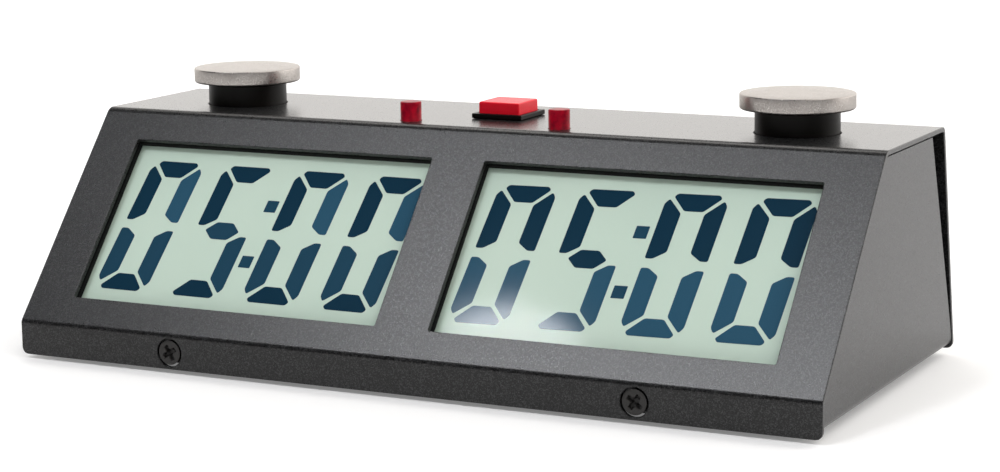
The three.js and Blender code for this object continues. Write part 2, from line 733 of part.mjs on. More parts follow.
function addWiring() {
  const at = (x, y, z) => new THREE.Vector3(x, y, z);
  const tail = 59.4;
  const rearRow = BAY_Y + CELL_ROW;
  const frontRow = BAY_Y - CELL_ROW;
  const ends = (x, y) => [behindBoard(x, y, 9), behindBoard(x, y, 0.4)];
  const red = [at(tail, rearRow, 11.3), at(66, 74, 10), at(68, 58, 8), at(58, 38, 8), ...ends(46, 14)];
  const black = [at(tail, frontRow, 11.3), at(62.5, 58, 10), at(58, 44, 8), at(46, 34, 9), ...ends(38, 14)];
  piece(clock, "battery_lead_red", wire(0.6, red), finish(0xb01818, 0.45));
  piece(clock, "battery_lead_black", wire(0.6, black), finish(0x111111, 0.45));
  const terminals = LEVER_PIVOT.z - 0.9 - 14;
  for (const [hand, side] of [["left", -1], ["right", 1]]) {
    const x = side * PLUNGER_X;
    const route = [
      at(x, PLUNGER_Y, terminals - 1),
      at(x, PLUNGER_Y - 3, terminals - 5),
      at(side * 76, 46, 11),
      behindBoard(side * 74, 26, 10),
      behindBoard(side * 74, 26, 0.4),
    ];
    piece(clock, `${hand}_switch_cable`, wire(1.1, route), finish(0x2a2a2a, 0.5));
  }
  const bottom = TOP_BOARD_Z - GAP;
  const ribbon = foldedOutline([[52, bottom], [52, 34], [36.6, 34]], 0.8, 2.5, 1);
  piece(clock, "board_ribbon", alongX(ribbon, -8, 8), finish(0x9a9a96, 0.6));
}

addCover();
addBaseTray();
addScrews();
addFeet();
addDisplays();
addMainBoard();
addPlungers();
addCentreControls();
addBatteryBay();
addBatteryDoor();
addWiring();

export default chessClock;
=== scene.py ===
import math

import bpy
from mathutils import Matrix, Vector
from mathutils.geometry import delaunay_2d_cdt


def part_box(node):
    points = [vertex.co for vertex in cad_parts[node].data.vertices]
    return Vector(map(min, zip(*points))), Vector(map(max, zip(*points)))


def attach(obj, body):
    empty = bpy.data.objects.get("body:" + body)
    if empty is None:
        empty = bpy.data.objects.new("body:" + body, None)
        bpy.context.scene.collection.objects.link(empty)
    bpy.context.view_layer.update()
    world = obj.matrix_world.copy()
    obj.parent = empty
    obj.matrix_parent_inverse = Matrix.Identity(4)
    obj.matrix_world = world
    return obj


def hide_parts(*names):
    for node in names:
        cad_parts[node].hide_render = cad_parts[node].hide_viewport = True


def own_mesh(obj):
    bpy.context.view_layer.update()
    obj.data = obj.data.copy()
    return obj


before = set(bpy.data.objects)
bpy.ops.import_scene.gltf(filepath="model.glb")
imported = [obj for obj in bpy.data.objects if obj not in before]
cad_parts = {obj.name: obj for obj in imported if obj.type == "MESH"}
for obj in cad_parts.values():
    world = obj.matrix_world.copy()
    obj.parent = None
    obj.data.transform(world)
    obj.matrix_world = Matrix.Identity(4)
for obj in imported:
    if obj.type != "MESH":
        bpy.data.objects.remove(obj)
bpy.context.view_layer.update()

MM = 0.001

# Places and sizes in metres. What the frame can't say about the folded case is named here.
COVER_LOW, COVER_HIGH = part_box("cover")
CASE_WIDTH = COVER_HIGH.x - COVER_LOW.x
FRONT_Y, BACK_Y = COVER_LOW.y, COVER_HIGH.y
BASE_Z, TOP_Z = COVER_LOW.z, COVER_HIGH.z
LIP_HEIGHT = 8.4 * MM
SLOPE_RUN = 41 * MM
BACK_RUN = 10.8 * MM
BACK_LIFT = 0.9 * MM
SHEET = 1.2 * MM
CORNER_RADIUS = 2 * MM
LIP_BEND, TOP_BEND, BACK_BEND = 2 * MM, 3.2 * MM, 2 * MM
GLASS_DEPTH = 3.1 * MM
GLASS_THICK = 2.2 * MM
GLASS_OVERLAP = 3.5 * MM
WINDOW_X = 49.75 * MM
WINDOW_SIZE = Vector((85.3, 46.3)) * MM
WINDOW_LOW = 8 * MM
WINDOW_CORNER = 0.5 * MM
DISC_THICK = 3.7 * MM
STEM_RADIUS = 10.1 * MM
STEM_FLANGE = 11.7 * MM
STEM_HOLE = STEM_RADIUS + 0.25 * MM
LAMP_HOLE = 2.75 * MM
BUTTON_HOLE = 6.4 * MM
SCREW_X = 61.2 * MM
SCREW_HOLE = 3.45 * MM
SCREW_HEAD = 2.95 * MM
SHEET_SOFT = 0.22 * MM
SIDES = (("left", -1), ("right", 1))

SLOPE_ANGLE = math.atan2(TOP_Z - BASE_Z - LIP_HEIGHT, SLOPE_RUN)
BACK_LEAN = math.atan2(BACK_RUN, TOP_Z - BASE_Z)


def face_matrix(y, z, angle):
    return Matrix.Translation((0, y, z)) @ Matrix.Rotation(angle, 4, "X")


# Local Z points out of each face. Local Y runs up the slope and the lip, and down the back.
SLOPE = face_matrix(FRONT_Y, BASE_Z + LIP_HEIGHT, SLOPE_ANGLE)
LIP = face_matrix(FRONT_Y, BASE_Z, math.pi / 2)
BACK = face_matrix(BACK_Y, BASE_Z, BACK_LEAN - math.pi / 2)
# How far up the lip, and up the back from its lower edge, the case screws sit.
SCREW_PLACES = {"front": (LIP, 4.15 * MM), "rear": (BACK, -8 * MM)}


# Camera, light and floor ---------------------------------------------------------------------------------

CAMERA_PLACE = (0.2846, -0.5547, 0.1427)
CAMERA_AZIMUTH, CAMERA_ELEVATION, CAMERA_ROLL = (math.radians(a) for a in (26.79, 10.24, -0.71))
LENS, SENSOR = 92.95, 36
WHITE, WARM, COOL = (1, 1, 1), (1.03, 1.0, 0.965), (0.97, 0.985, 1.02)
ALL_ROUND, BACKGROUND = 0.06, 2.0
# Each soft light: the way to it, where it begins and ends to fade in degrees, its strength and its colour.
SOFT_LIGHTS = (
    ((-0.437, -0.378, 0.817), 1.5, 2.2, 103, COOL),
    ((-0.27, -0.47, 0.84), 2.0, 6.5, 30, COOL),
    ((-0.16, -0.46, 0.87), 2, 16, 1.2, COOL),
    ((0.62, -0.20, 0.76), 14, 30, 2.0, WARM),
    ((0.36, -0.84, 0.40), 6, 24, 0.62, COOL),
    ((0.25, 0.60, 0.76), 14, 32, 1.8, WARM),
    ((-0.40, 0.42, 0.81), 4, 13, 4.0, WARM),
    ((0.72, 0.69, 0.10), 6, 30, 0.85, WARM),
)


def make_camera():
    back = Vector((
        math.sin(CAMERA_AZIMUTH) * math.cos(CAMERA_ELEVATION),
        -math.cos(CAMERA_AZIMUTH) * math.cos(CAMERA_ELEVATION),
        math.sin(CAMERA_ELEVATION),
    ))
    level = Vector((0, 0, 1)).cross(back).normalized()
    up = back.cross(level)
    right = math.cos(CAMERA_ROLL) * level + math.sin(CAMERA_ROLL) * up
    up = back.cross(right)
    data = bpy.data.cameras.new("camera")
    data.lens = LENS
    data.sensor_width = SENSOR
    data.clip_start = 0.01
    camera = bpy.data.objects.new("camera", data)
    bpy.context.scene.collection.objects.link(camera)
    turn = Matrix((right, up, back)).transposed().to_4x4()
    camera.matrix_world = Matrix.Translation(CAMERA_PLACE) @ turn
    bpy.context.scene.camera = camera


def make_world():
    """A soft studio: a bright background behind, soft lights round the case, and white where it is seen."""
    world = bpy.data.worlds.new("studio")
    world.use_nodes = True
    bpy.context.scene.world = world
    nodes, links = world.node_tree.nodes, world.node_tree.links
    nodes.clear()
    sky = nodes.new("ShaderNodeTexCoord").outputs["Generated"]
    total = None

    def add_light(strength, color, factor=None):
        nonlocal total
        light = nodes.new("ShaderNodeBackground")
        light.inputs["Color"].default_value = (*color, 1)
        light.inputs["Strength"].default_value = strength
        if factor is not None:
            scale = nodes.new("ShaderNodeMath")
            scale.operation = "MULTIPLY"
            scale.inputs[1].default_value = strength
            links.new(factor, scale.inputs[0])
            links.new(scale.outputs[0], light.inputs["Strength"])
        if total is None:
            total = light.outputs[0]
            return
        both = nodes.new("ShaderNodeAddShader")
        links.new(total, both.inputs[0])
        links.new(light.outputs[0], both.inputs[1])
        total = both.outputs[0]

    def along(direction):
        dot = nodes.new("ShaderNodeVectorMath")
        dot.operation = "DOT_PRODUCT"
        dot.inputs[1].default_value = Vector(direction).normalized()
        links.new(sky, dot.inputs[0])
        return dot.outputs["Value"]

    def fade(source, start, end):
        """Smoothly from 0 at start to 1 at end."""
        made = nodes.new("ShaderNodeMapRange")
        made.interpolation_type = "SMOOTHSTEP"
        made.inputs["From Min"].default_value = start
        made.inputs["From Max"].default_value = end
        links.new(source, made.inputs["Value"])
        return made.outputs[0]

    def times(first, second):
        made = nodes.new("ShaderNodeMath")
        made.operation = "MULTIPLY"
        links.new(first, made.inputs[0])
        links.new(second, made.inputs[1])
        return made.outputs[0]

    add_light(ALL_ROUND, WHITE)
    for direction, inner, outer, strength, color in SOFT_LIGHTS:
        glow = fade(along(direction), math.cos(math.radians(outer)), math.cos(math.radians(inner)))
        add_light(strength, color, glow)
    behind = fade(along((0, 1, 0)), -0.1, 0.35)
    low = fade(along((0, 0, 1)), 0.62, 0.35)
    add_light(BACKGROUND, WARM, times(behind, low))

    white = nodes.new("ShaderNodeBackground")
    white.inputs["Color"].default_value = (*WHITE, 1)
    path = nodes.new("ShaderNodeLightPath")
    choose = nodes.new("ShaderNodeMixShader")
    links.new(path.outputs["Is Camera Ray"], choose.inputs["Fac"])
    links.new(total, choose.inputs[1])
    links.new(white.outputs[0], choose.inputs[2])
    out = nodes.new("ShaderNodeOutputWorld")
    links.new(choose.outputs[0], out.inputs["Surface"])
    bpy.context.scene.view_settings.view_transform = "Standard"


# Mesh helpers --------------------------------------------------------------------------------------------

def mesh_object(name, verts, faces, material, smooth=True):
    mesh = bpy.data.meshes.new(name)
    mesh.from_pydata([tuple(v) for v in verts], [], faces)
    mesh.validate()
    mesh.polygons.foreach_set("use_smooth", [smooth] * len(mesh.polygons))
    mesh.materials.append(material)
    made = bpy.data.objects.new(name, mesh)
    bpy.context.scene.collection.objects.link(made)
    return made


def finish_piece(piece, body, slot, *replaced):
    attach(piece, body)
    if replaced:
        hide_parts(*replaced)


def add_bevel(piece, width, angle):
    bevel = piece.modifiers.new("edge", "BEVEL")
    bevel.width = width
    bevel.segments = 2
    bevel.limit_method = "ANGLE"
    bevel.angle_limit = math.radians(angle)
    bevel.use_clamp_overlap = True
    bevel.harden_normals = False
    even_normals(piece)


def even_normals(piece):
    normals = piece.modifiers.new("normals", "WEIGHTED_NORMAL")
    normals.keep_sharp = True


def lathe(name, profile, material, centre, segments):
    """A turned piece about Z from (radius, height) points that run from the axis, out, up and back to it."""
    verts, rings, faces = [], [], []
    for radius, height in profile:
        if radius < 1e-9:
            rings.append([len(verts)])
            verts.append(Vector((centre[0], centre[1], height)))
            continue
        rings.append(list(range(len(verts), len(verts) + segments)))
        for i in range(segments):
            angle = 2 * math.pi * i / segments
            x, y = centre[0] + radius * math.cos(angle), centre[1] + radius * math.sin(angle)
            verts.append(Vector((x, y, height)))
    for low, high in zip(rings, rings[1:]):
        for i in range(segments):
            j = (i + 1) % segments
            if len(low) == 1:
                faces.append((low[0], high[j], high[i]))
            elif len(high) == 1:
                faces.append((low[i], low[j], high[0]))
            else:
                faces.append((low[i], low[j], high[j], high[i]))
    return mesh_object(name, verts, faces, material)


def arc_points(centre, radius, start, end, steps):
    """Points of an arc in degrees, both ends included."""
    angles = (math.radians(start + (end - start) * i / steps) for i in range(steps + 1))
    return [(centre[0] + radius * math.cos(a), centre[1] + radius * math.sin(a)) for a in angles]


def rounded(points, radius, steps=4):
    """A closed outline with its corners rounded, as far as its sides leave room."""
    count = len(points)
    made = []
    for i, point in enumerate(points):
        corner = Vector(point)
        before, after = Vector(points[i - 1]) - corner, Vector(points[(i + 1) % count]) - corner
        reach = min(radius, before.length * 0.45, after.length * 0.45)
        start, end = corner + before.normalized() * reach, corner + after.normalized() * reach
        for k in range(steps + 1):
            t = k / steps
            made.append((1 - t) ** 2 * start + 2 * t * (1 - t) * corner + t * t * end)
    return made


def circle(centre, radius, count):
    angles = (2 * math.pi * i / count for i in range(count))
    return [(centre[0] + radius * math.cos(a), centre[1] + radius * math.sin(a)) for a in angles]


def box_outline(low, high, radius, steps=3):
    corners = [(low[0], low[1]), (high[0], low[1]), (high[0], high[1]), (low[0], high[1])]
    return rounded(corners, radius, steps)


def middle(node):
    low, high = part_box(node)
    return (low + high) / 2


# Materials -----------------------------------------------------------------------------------------------

class Finish:
    """A Principled material and the node calls used to build its patterns in the object's own metres."""

    def __init__(self, name, color, roughness, metallic=0.0, **sockets):
        self.material = bpy.data.materials.new(name)
        self.material.use_nodes = True
        self.nodes, self.links = self.material.node_tree.nodes, self.material.node_tree.links
        self.shader = self.nodes["Principled BSDF"]
        self.shader.inputs["Base Color"].default_value = (*color, 1)
        self.shader.inputs["Roughness"].default_value = roughness
        self.shader.inputs["Metallic"].default_value = metallic
        for socket, value in sockets.items():
            self.shader.inputs[socket.replace("_", " ")].default_value = value
        self.place = self.nodes.new("ShaderNodeTexCoord").outputs["Object"]
        self.askew = self.moved((0, 0, 0), (0.61, 0.37, 0.83))

    def moved(self, shift, turn):
        """The object's own coordinates, turned and shifted."""
        mapping = self.nodes.new("ShaderNodeMapping")
        mapping.inputs["Location"].default_value = shift
        mapping.inputs["Rotation"].default_value = turn
        self.links.new(self.place, mapping.inputs["Vector"])
        return mapping.outputs[0]

    def noise(self, size, detail=2.0, vector=None):
        """Noise whose features are about size metres across."""
        made = self.nodes.new("ShaderNodeTexNoise")
        made.inputs["Scale"].default_value = 1 / size
        made.inputs["Detail"].default_value = detail
        self.links.new(vector or self.askew, made.inputs["Vector"])
        return made.outputs["Fac"]

    def cells(self, size):
        """A different value from 0 to 1 in each small cell."""
        made = self.nodes.new("ShaderNodeTexVoronoi")
        made.inputs["Scale"].default_value = 1 / size
        self.links.new(self.askew, made.inputs["Vector"])
        shade = self.nodes.new("ShaderNodeSeparateColor")
        self.links.new(made.outputs["Color"], shade.inputs[0])
        return shade.outputs[0]

    def spread(self, source, low, high, start=0.3, end=0.7):
        """Maps source from start..end to low..high."""
        made = self.nodes.new("ShaderNodeMapRange")
        for socket, value in (("From Min", start), ("From Max", end), ("To Min", low), ("To Max", high)):
            made.inputs[socket].default_value = value
        self.links.new(source, made.inputs["Value"])
        return made.outputs[0]

    def mix(self, factor, first, second):
        """A blend of two colours. Each may be a plain value or another node's output."""
        made = self.nodes.new("ShaderNodeMix")
        made.data_type = "RGBA"
        for socket, value in (("Factor", factor), ("A", first), ("B", second)):
            if isinstance(value, tuple):
                made.inputs[socket].default_value = (*value, 1)
            else:
                self.links.new(value, made.inputs[socket])
        return made.outputs["Result"]

    def math(self, operation, *sources):
        made = self.nodes.new("ShaderNodeMath")
        made.operation = operation
        for i, source in enumerate(sources):
            self.links.new(source, made.inputs[i])
        return made.outputs[0]

    def set(self, socket, source):
        self.links.new(source, self.shader.inputs[socket])

    def bump(self, height, depth, strength, under=None):
        """Relief of a depth in metres, over another relief if one is given."""
        made = self.nodes.new("ShaderNodeBump")
        made.inputs["Strength"].default_value = strength
        made.inputs["Distance"].default_value = depth
        self.links.new(height, made.inputs["Height"])
        if under:
            self.links.new(under, made.inputs["Normal"])
        self.links.new(made.outputs[0], self.shader.inputs["Normal"])
        return made.outputs[0]


def powder_coat():
    """Black powder coat: fine grains that differ in shade and a little in gloss, over an orange peel."""
    coat = Finish("case_coat", (0.008, 0.008, 0.008), 0.29, Specular_IOR_Level=0.37)
    grains = coat.cells(0.24 * MM)
    broad = coat.spread(coat.noise(40 * MM, 2), 0, 1)
    base = coat.mix(broad, (0.004, 0.004, 0.0043), (0.006, 0.006, 0.0063))
    pale = coat.spread(grains, 0, 1, 0.55, 1)
    coat.set("Base Color", coat.mix(pale, base, (0.042, 0.042, 0.043)))
    coat.set("Roughness", coat.spread(grains, 0.27, 0.31, 0, 1))
    coat.bump(coat.noise(1.2 * MM, 2), 0.008 * MM, 0.5)
    return coat.material


def black_plastic():
    plastic = Finish("black_plastic", (0.008, 0.008, 0.008), 0.5, Specular_IOR_Level=0.12)
    grain = plastic.noise(0.25 * MM, 2)
    broad = plastic.noise(6 * MM)
    plastic.set("Base Color", plastic.mix(broad, (0.004, 0.0035, 0.003), (0.007, 0.006, 0.005)))
    plastic.set("Roughness", plastic.spread(grain, 0.33, 0.46))
    plastic.bump(grain, 0.01 * MM, 0.4)
    return plastic.material


def frame_plastic():
    plastic = Finish("frame_plastic", (0.004, 0.004, 0.004), 0.7, Specular_IOR_Level=0.12)
    grain = plastic.noise(0.3 * MM, 2)
    plastic.set("Base Color", plastic.mix(grain, (0.003, 0.003, 0.003), (0.007, 0.007, 0.007)))
    plastic.set("Roughness", plastic.spread(grain, 0.62, 0.8))
    return plastic.material


def rubber():
    made = Finish("foot_rubber", (0.012, 0.012, 0.012), 0.8)
    grain = made.noise(0.4 * MM, 3)
    made.set("Base Color", made.mix(grain, (0.009, 0.009, 0.009), (0.02, 0.02, 0.02)))
    made.set("Roughness", made.spread(grain, 0.7, 0.92))
    made.bump(grain, 0.03 * MM, 0.4)
    return made.material


def turned_steel(name, centre):
    """Bright turned steel: fine rings about the disc's centre, a light grain and small handling marks."""
    steel = Finish(name, (0.5, 0.48, 0.46), 0.3, 1.0, Specular_Tint=(0.72, 0.71, 0.70, 1))
    around = steel.moved((-centre[0], -centre[1], 0), (0, 0, 0))
    split = steel.nodes.new("ShaderNodeSeparateXYZ")
    steel.links.new(around, split.inputs[0])
    x, y, z = split.outputs
    squares = steel.math("ADD", steel.math("MULTIPLY", x, x), steel.math("MULTIPLY", y, y))
    radius = steel.math("SQRT", squares)
    rings = steel.nodes.new("ShaderNodeCombineXYZ")
    steel.links.new(radius, rings.inputs[0])
    steel.links.new(z, rings.inputs[2])
    turned = steel.noise(0.12 * MM, 2, rings.outputs[0])
    grain = steel.noise(0.35 * MM, 3)
    marks = steel.spread(steel.noise(3.5 * MM, 4), 0, 1, 0.45, 0.75)
    tone = steel.mix(marks, (0.42, 0.395, 0.375), (0.35, 0.325, 0.305))
    steel.set("Base Color", steel.mix(steel.spread(grain, 0, 0.5), tone, (0.27, 0.245, 0.23)))
    steel.set("Roughness", steel.spread(grain, 0.24, 0.4))
    first = steel.bump(turned, 0.004 * MM, 0.5)
    steel.bump(grain, 0.006 * MM, 0.5, first)
    return steel.material


def bright_metal(name, color, roughness):
    metal = Finish(name, color, roughness, 1.0)
    grain = metal.noise(0.5 * MM, 3)
    metal.set("Base Color", metal.mix(grain, tuple(c * 0.85 for c in color), color))
    metal.set("Roughness", metal.spread(grain, roughness * 0.8, roughness * 1.3))
    metal.bump(grain, 0.005 * MM, 0.3)
    return metal.material


def black_screw():
    metal = Finish("black_screw", (0.025, 0.024, 0.023), 0.42, 0.4)
    grain = metal.noise(0.3 * MM, 3)
    metal.set("Base Color", metal.mix(grain, (0.016, 0.015, 0.015), (0.04, 0.038, 0.036)))
    metal.set("Roughness", metal.spread(grain, 0.34, 0.55))
    metal.bump(grain, 0.01 * MM, 0.4)
    return metal.material


def red_plastic():
    plastic = Finish("red_plastic", (0.75, 0.001, 0.012), 0.4, Specular_IOR_Level=0.22)
    grain = plastic.noise(0.3 * MM, 2)
    broad = plastic.noise(3 * MM, 3)
    plastic.set("Base Color", plastic.mix(broad, (0.80, 0.0005, 0.014), (0.92, 0.001, 0.022)))
    plastic.set("Roughness", plastic.spread(grain, 0.34, 0.46))
    plastic.bump(grain, 0.004 * MM, 0.3)
    return plastic.material


def lamp_plastic():
    plastic = Finish("lamp_plastic", (0.42, 0.004, 0.015), 0.35, Specular_IOR_Level=0.06)
    swirl = plastic.spread(plastic.noise(1.6 * MM, 3), 0, 1)
    plastic.set("Base Color", plastic.mix(swirl, (0.15, 0.001, 0.010), (0.42, 0.003, 0.018)))
    return plastic.material


def display_glass():
    """The panel's face: a pale grey-green reflector with a very fine cell under a smooth polariser."""
    glass = Finish("display_glass", (0.46, 0.58, 0.5), 0.6, Coat_Weight=0.07, Coat_Roughness=0.05)
    fine = glass.noise(0.12 * MM, 1)
    broad = glass.noise(30 * MM, 1)
    tint = glass.mix(glass.spread(broad, 0, 1), (0.555, 0.705, 0.597), (0.59, 0.735, 0.622))
    glass.set("Base Color", glass.mix(glass.spread(fine, 0, 0.12), tint, (0.74, 0.84, 0.76)))
    return glass.material


def segment_ink(name, color):
    """One of the display's blues, under the same smooth polariser. The two lighter blues are painted light:
    the studio light's uneven glow across the panels, built into the ink's colour.
    """
    ink = Finish(name, color, 0.6, Coat_Weight=0.14, Coat_Roughness=0.05, Specular_IOR_Level=0.03)
    fine = ink.noise(0.12 * MM, 1)
    ink.set("Base Color", ink.mix(ink.spread(fine, 0, 0.25), color, tuple(c * 1.5 + 0.004 for c in color)))
    return ink.material


def plain_board():
    board = Finish("circuit_board", (0.02, 0.10, 0.045), 0.35)
    tracks = board.spread(board.noise(1.2 * MM, 0), 0, 1, 0.48, 0.52)
    board.set("Base Color", board.mix(tracks, (0.015, 0.085, 0.035), (0.03, 0.13, 0.06)))
    board.set("Roughness", board.spread(board.noise(0.5 * MM), 0.3, 0.45))
    return board.material


def coloured(name, color, roughness):
    made = Finish(name, color, roughness)
    grain = made.noise(0.6 * MM, 2)
    made.set("Base Color", made.mix(grain, tuple(c * 0.8 for c in color), color))
    made.set("Roughness", made.spread(grain, roughness * 0.85, roughness * 1.2))
    made.bump(grain, 0.01 * MM, 0.3)
    return made.material


def floor_paper():
    paper = Finish("floor_paper", (0.9, 0.9, 0.9), 0.7, Emission_Color=(1, 1, 1, 1), Emission_Strength=0.2)
    paper.set("Base Color", paper.mix(paper.noise(20 * MM, 3), (0.89, 0.89, 0.89), (0.91, 0.91, 0.91)))
    return paper.material


COAT = powder_coat()
PLASTIC = black_plastic()
FRAME_PLASTIC = frame_plastic()
RUBBER = rubber()
SPRING_STEEL = bright_metal("spring_steel", (0.55, 0.55, 0.53), 0.25)
SCREW = black_screw()
RED = red_plastic()
LAMP = lamp_plastic()
GLASS = display_glass()
BOARD = plain_board()
PLAIN_BLUE, SOME_PAINTED_LIGHT, MORE_PAINTED_LIGHT = range(3)
# One plain dark blue and two lighter copies of it. The lighter copies are painted light, the studio light's
# glow on parts of the panels.
INKS = [
    segment_ink("segment_plain_blue", (0.004, 0.030, 0.058)),
    segment_ink("segment_some_painted_light", (0.013, 0.055, 0.096)),
    segment_ink("segment_more_painted_light", (0.023, 0.085, 0.142)),
]


# The cover: a flat pattern with its openings, folded along its bend lines --------------------------------

class Fold:
    """Carries the flat pattern to the folded sheet. s runs up the lip and the slope, over and down."""

    def __init__(self, corners, radii):
        points = [Vector(c) for c in corners]
        ways = [(b - a).normalized() for a, b in zip(points, points[1:])]
        turns = [math.acos(max(-1, min(1, a.dot(b)))) for a, b in zip(ways, ways[1:])]
        cuts = [0, *(radius * math.tan(turn / 2) for radius, turn in zip(radii, turns)), 0]
        self.runs, self.arcs = [], []
        s = 0
        for i, way in enumerate(ways):
            start = points[i] + way * cuts[i]
            length = (points[i + 1] - points[i]).length - cuts[i] - cuts[i + 1]
            self.runs.append((s, s + length, start, way, s - cuts[i]))
            s += length
            if i < len(turns):
                centre = start + way * length + self.inward(way) * radii[i]
                self.arcs.append((s, s + turns[i] * radii[i], centre, way, turns[i], radii[i]))
                s += turns[i] * radii[i]
        self.length = s

    @staticmethod
    def inward(way):
        """From the outer face into the sheet, where the profile runs along way."""
        return Vector((way.y, -way.x))

    def at(self, s):
        """The outer face's place, and the way along it, as (y, z) pairs."""
        for low, high, centre, way, turn, radius in self.arcs:
            if low <= s <= high:
                angle = -turn * (s - low) / (high - low)
                c, n = math.cos(angle), math.sin(angle)
                way = Vector((way.x * c - way.y * n, way.x * n + way.y * c))
                return centre - self.inward(way) * radius, way
        for low, high, start, way, _ in self.runs:
            if low - 1e-9 <= s <= high + 1e-9:
                return start + way * (s - low), way
        raise ValueError(f"{s} is off the pattern")

    def on_run(self, i, distance):
        """The pattern's s at a distance from the sharp corner where straight run i begins."""
        return self.runs[i][4] + distance

    def bend_lines(self, steps):
        """Where each bend is folded, from its beginning to its end."""
        return [a + (b - a) * k / steps for a, b, *_ in self.arcs for k in range(steps + 1)]


COVER_FOLD = Fold(
    [
        (FRONT_Y, BASE_Z),
        (FRONT_Y, BASE_Z + LIP_HEIGHT),
        (FRONT_Y + SLOPE_RUN, TOP_Z),
        (BACK_Y - BACK_RUN, TOP_Z),
        (BACK_Y - BACK_LIFT * math.tan(BACK_LEAN), BASE_Z + BACK_LIFT),
    ],
    (LIP_BEND, TOP_BEND, BACK_BEND),
)


class Opening:
    """A round or square hole in the flat sheet. Grown by a distance, it keeps its number of points."""

    def __init__(self, x, s, half, corner=None):
        self.centre, self.half, self.corner = (x, s), Vector(half), corner

    def outline(self, grow):
        if self.corner is None:
            return circle(self.centre, self.half.x + grow, 72)
        reach = self.half + Vector((grow, grow))
        low, high = Vector(self.centre) - reach, Vector(self.centre) + reach
        return box_outline(low, high, self.corner + grow)

    def holds(self, x, s, grow):
        """Whether the grown opening's outline goes round the point."""
        if max(abs(x - self.centre[0]) - self.half.x, abs(s - self.centre[1]) - self.half.y) > grow:
            return False
        loop = self.outline(grow)
        crossed = 0
        for i, (x0, s0) in enumerate(loop):
            x1, s1 = loop[i - 1]
            if (s0 > s) != (s1 > s) and x < x0 + (s - s0) * (x1 - x0) / (s1 - s0):
                crossed += 1
        return crossed % 2 == 1


def cover_openings():
    made = []
    top_start = FRONT_Y + SLOPE_RUN

    def on_top(node, half, corner=None):
        place = middle(node)
        made.append(Opening(place.x, COVER_FOLD.on_run(2, place.y - top_start), half, corner))

    for hand, side in SIDES:
        s = COVER_FOLD.on_run(1, WINDOW_LOW + WINDOW_SIZE.y / 2)
        made.append(Opening(side * WINDOW_X, s, WINDOW_SIZE / 2, WINDOW_CORNER))
        on_top(f"{hand}_button_stem", (STEM_HOLE, STEM_HOLE))
        on_top(f"{hand}_lamp", (LAMP_HOLE, LAMP_HOLE))
        for end, (_, reach) in SCREW_PLACES.items():
            s = reach if end == "front" else COVER_FOLD.length + BACK_LIFT / math.cos(BACK_LEAN) + reach
            made.append(Opening(side * SCREW_X, s, (SCREW_HOLE, SCREW_HOLE)))
    on_top("centre_button_housing", (BUTTON_HOLE, BUTTON_HOLE), WINDOW_CORNER)
    return made


def sheet_edge():
    """The rounded edge from the outer face to the inner one: distance into the sheet, depth and lean."""
    turn = [math.radians(a) for a in (0, 30, 60, 90)]
    first = [(SHEET_SOFT * (1 - math.sin(a)), SHEET_SOFT * (1 - math.cos(a)), a) for a in turn]
    return first + [(back, SHEET - depth, math.pi - a) for back, depth, a in reversed(first)]


def cover_outline(grow):
    """The sheet's outer outline, with a point on every bend line along both sides."""
    half, length = CASE_WIDTH / 2 + grow, COVER_FOLD.length + grow
    corners = box_outline((-half, -grow), (half, length), CORNER_RADIUS + grow, 6)
    quarter = len(corners) // 4
    bends = COVER_FOLD.bend_lines(8)
    right, left = [(half, s) for s in bends], [(-half, s) for s in reversed(bends)]
    made = [*corners[: 2 * quarter], *right, *corners[2 * quarter:], *left]
    return [Vector((p[0], p[1])) for p in made]


class FoldedSheet:
    """Collects the cover's vertices, each with the normal that the folded sheet has there."""

    def __init__(self):
        self.verts, self.normals, self.faces, self.known = [], [], [], {}

    def add(self, point, depth, lean=0.0, edge_way=None):
        """A vertex depth into the sheet. lean turns its normal from the outer face towards edge_way."""
        (y, z), way = COVER_FOLD.at(min(max(point[1], 0), COVER_FOLD.length))
        inner = Vector((0, *Fold.inward(way)))
        place = Vector((point[0], y, z)) + inner * depth
        key = tuple(round(c, 7) for c in place)
        if key not in self.known:
            self.known[key] = len(self.verts)
            self.verts.append(place)
            normal = -inner * math.cos(lean)
            if edge_way:
                normal += Vector((edge_way.x, *(way * edge_way.y))) * math.sin(lean)
            self.normals.append(normal.normalized())
        return self.known[key]

    def add_face(self, loop):
        if len(set(loop)) > 2:
            self.faces.append(loop)


def fill_side(sheet, rims, openings, back, depth, lean):
    """The sheet's outer or inner face, which begins a distance back from its rims."""
    points, edges = [], []
    for outline, sign in rims:
        loop = outline(sign * back)
        start, count = len(points), len(loop)
        points += [Vector((p[0], p[1])) for p in loop]
        edges += [(start + i, start + (i + 1) % count) for i in range(count)]
    by_height = {}
    for i, point in enumerate(points[: len(cover_outline(0))]):
        by_height.setdefault(round(point.y, 7), []).append(i)
    for height, pair in by_height.items():
        crosses = any(abs(height - hole.centre[1]) < hole.half.y + back for hole in openings)
        if len(pair) == 2 and not crosses:
            edges.append(tuple(pair))
    flat, _, triangles, *_ = delaunay_2d_cdt(points, edges, [], 1, 1e-8)
    for triangle in triangles:
        centre = sum((flat[i] for i in triangle), Vector((0, 0))) / len(triangle)
        if any(hole.holds(*centre, back) for hole in openings):
            continue
        a, b, c = (flat[i] for i in triangle[:3])
        upward = (b - a).cross(c - a) > 0
        loop = triangle if upward == (lean == 0) else list(reversed(triangle))
        sheet.add_face([sheet.add(flat[i], depth, lean) for i in loop])


def close_rim(sheet, outline, sign, edge):
    """The rounded edge of one rim. sign is -1 for the outer rim and 1 for an opening's."""
    base = outline(0)
    count = len(base)
    ways = []
    for i in range(count):
        along = Vector(base[(i + 1) % count]) - Vector(base[i - 1])
        ways.append(Vector((along[1], -along[0])).normalized() * -sign)
    rings = []
    for back, depth, lean in edge:
        loop = outline(sign * back)
        rings.append([sheet.add(loop[i], depth, lean, ways[i]) for i in range(count)])
    for low, high in zip(rings, rings[1:]):
        for i in range(count):
            j = (i + 1) % count
            loop = [low[i], high[i], high[j], low[j]]
            sheet.add_face(loop if sign < 0 else loop[::-1])


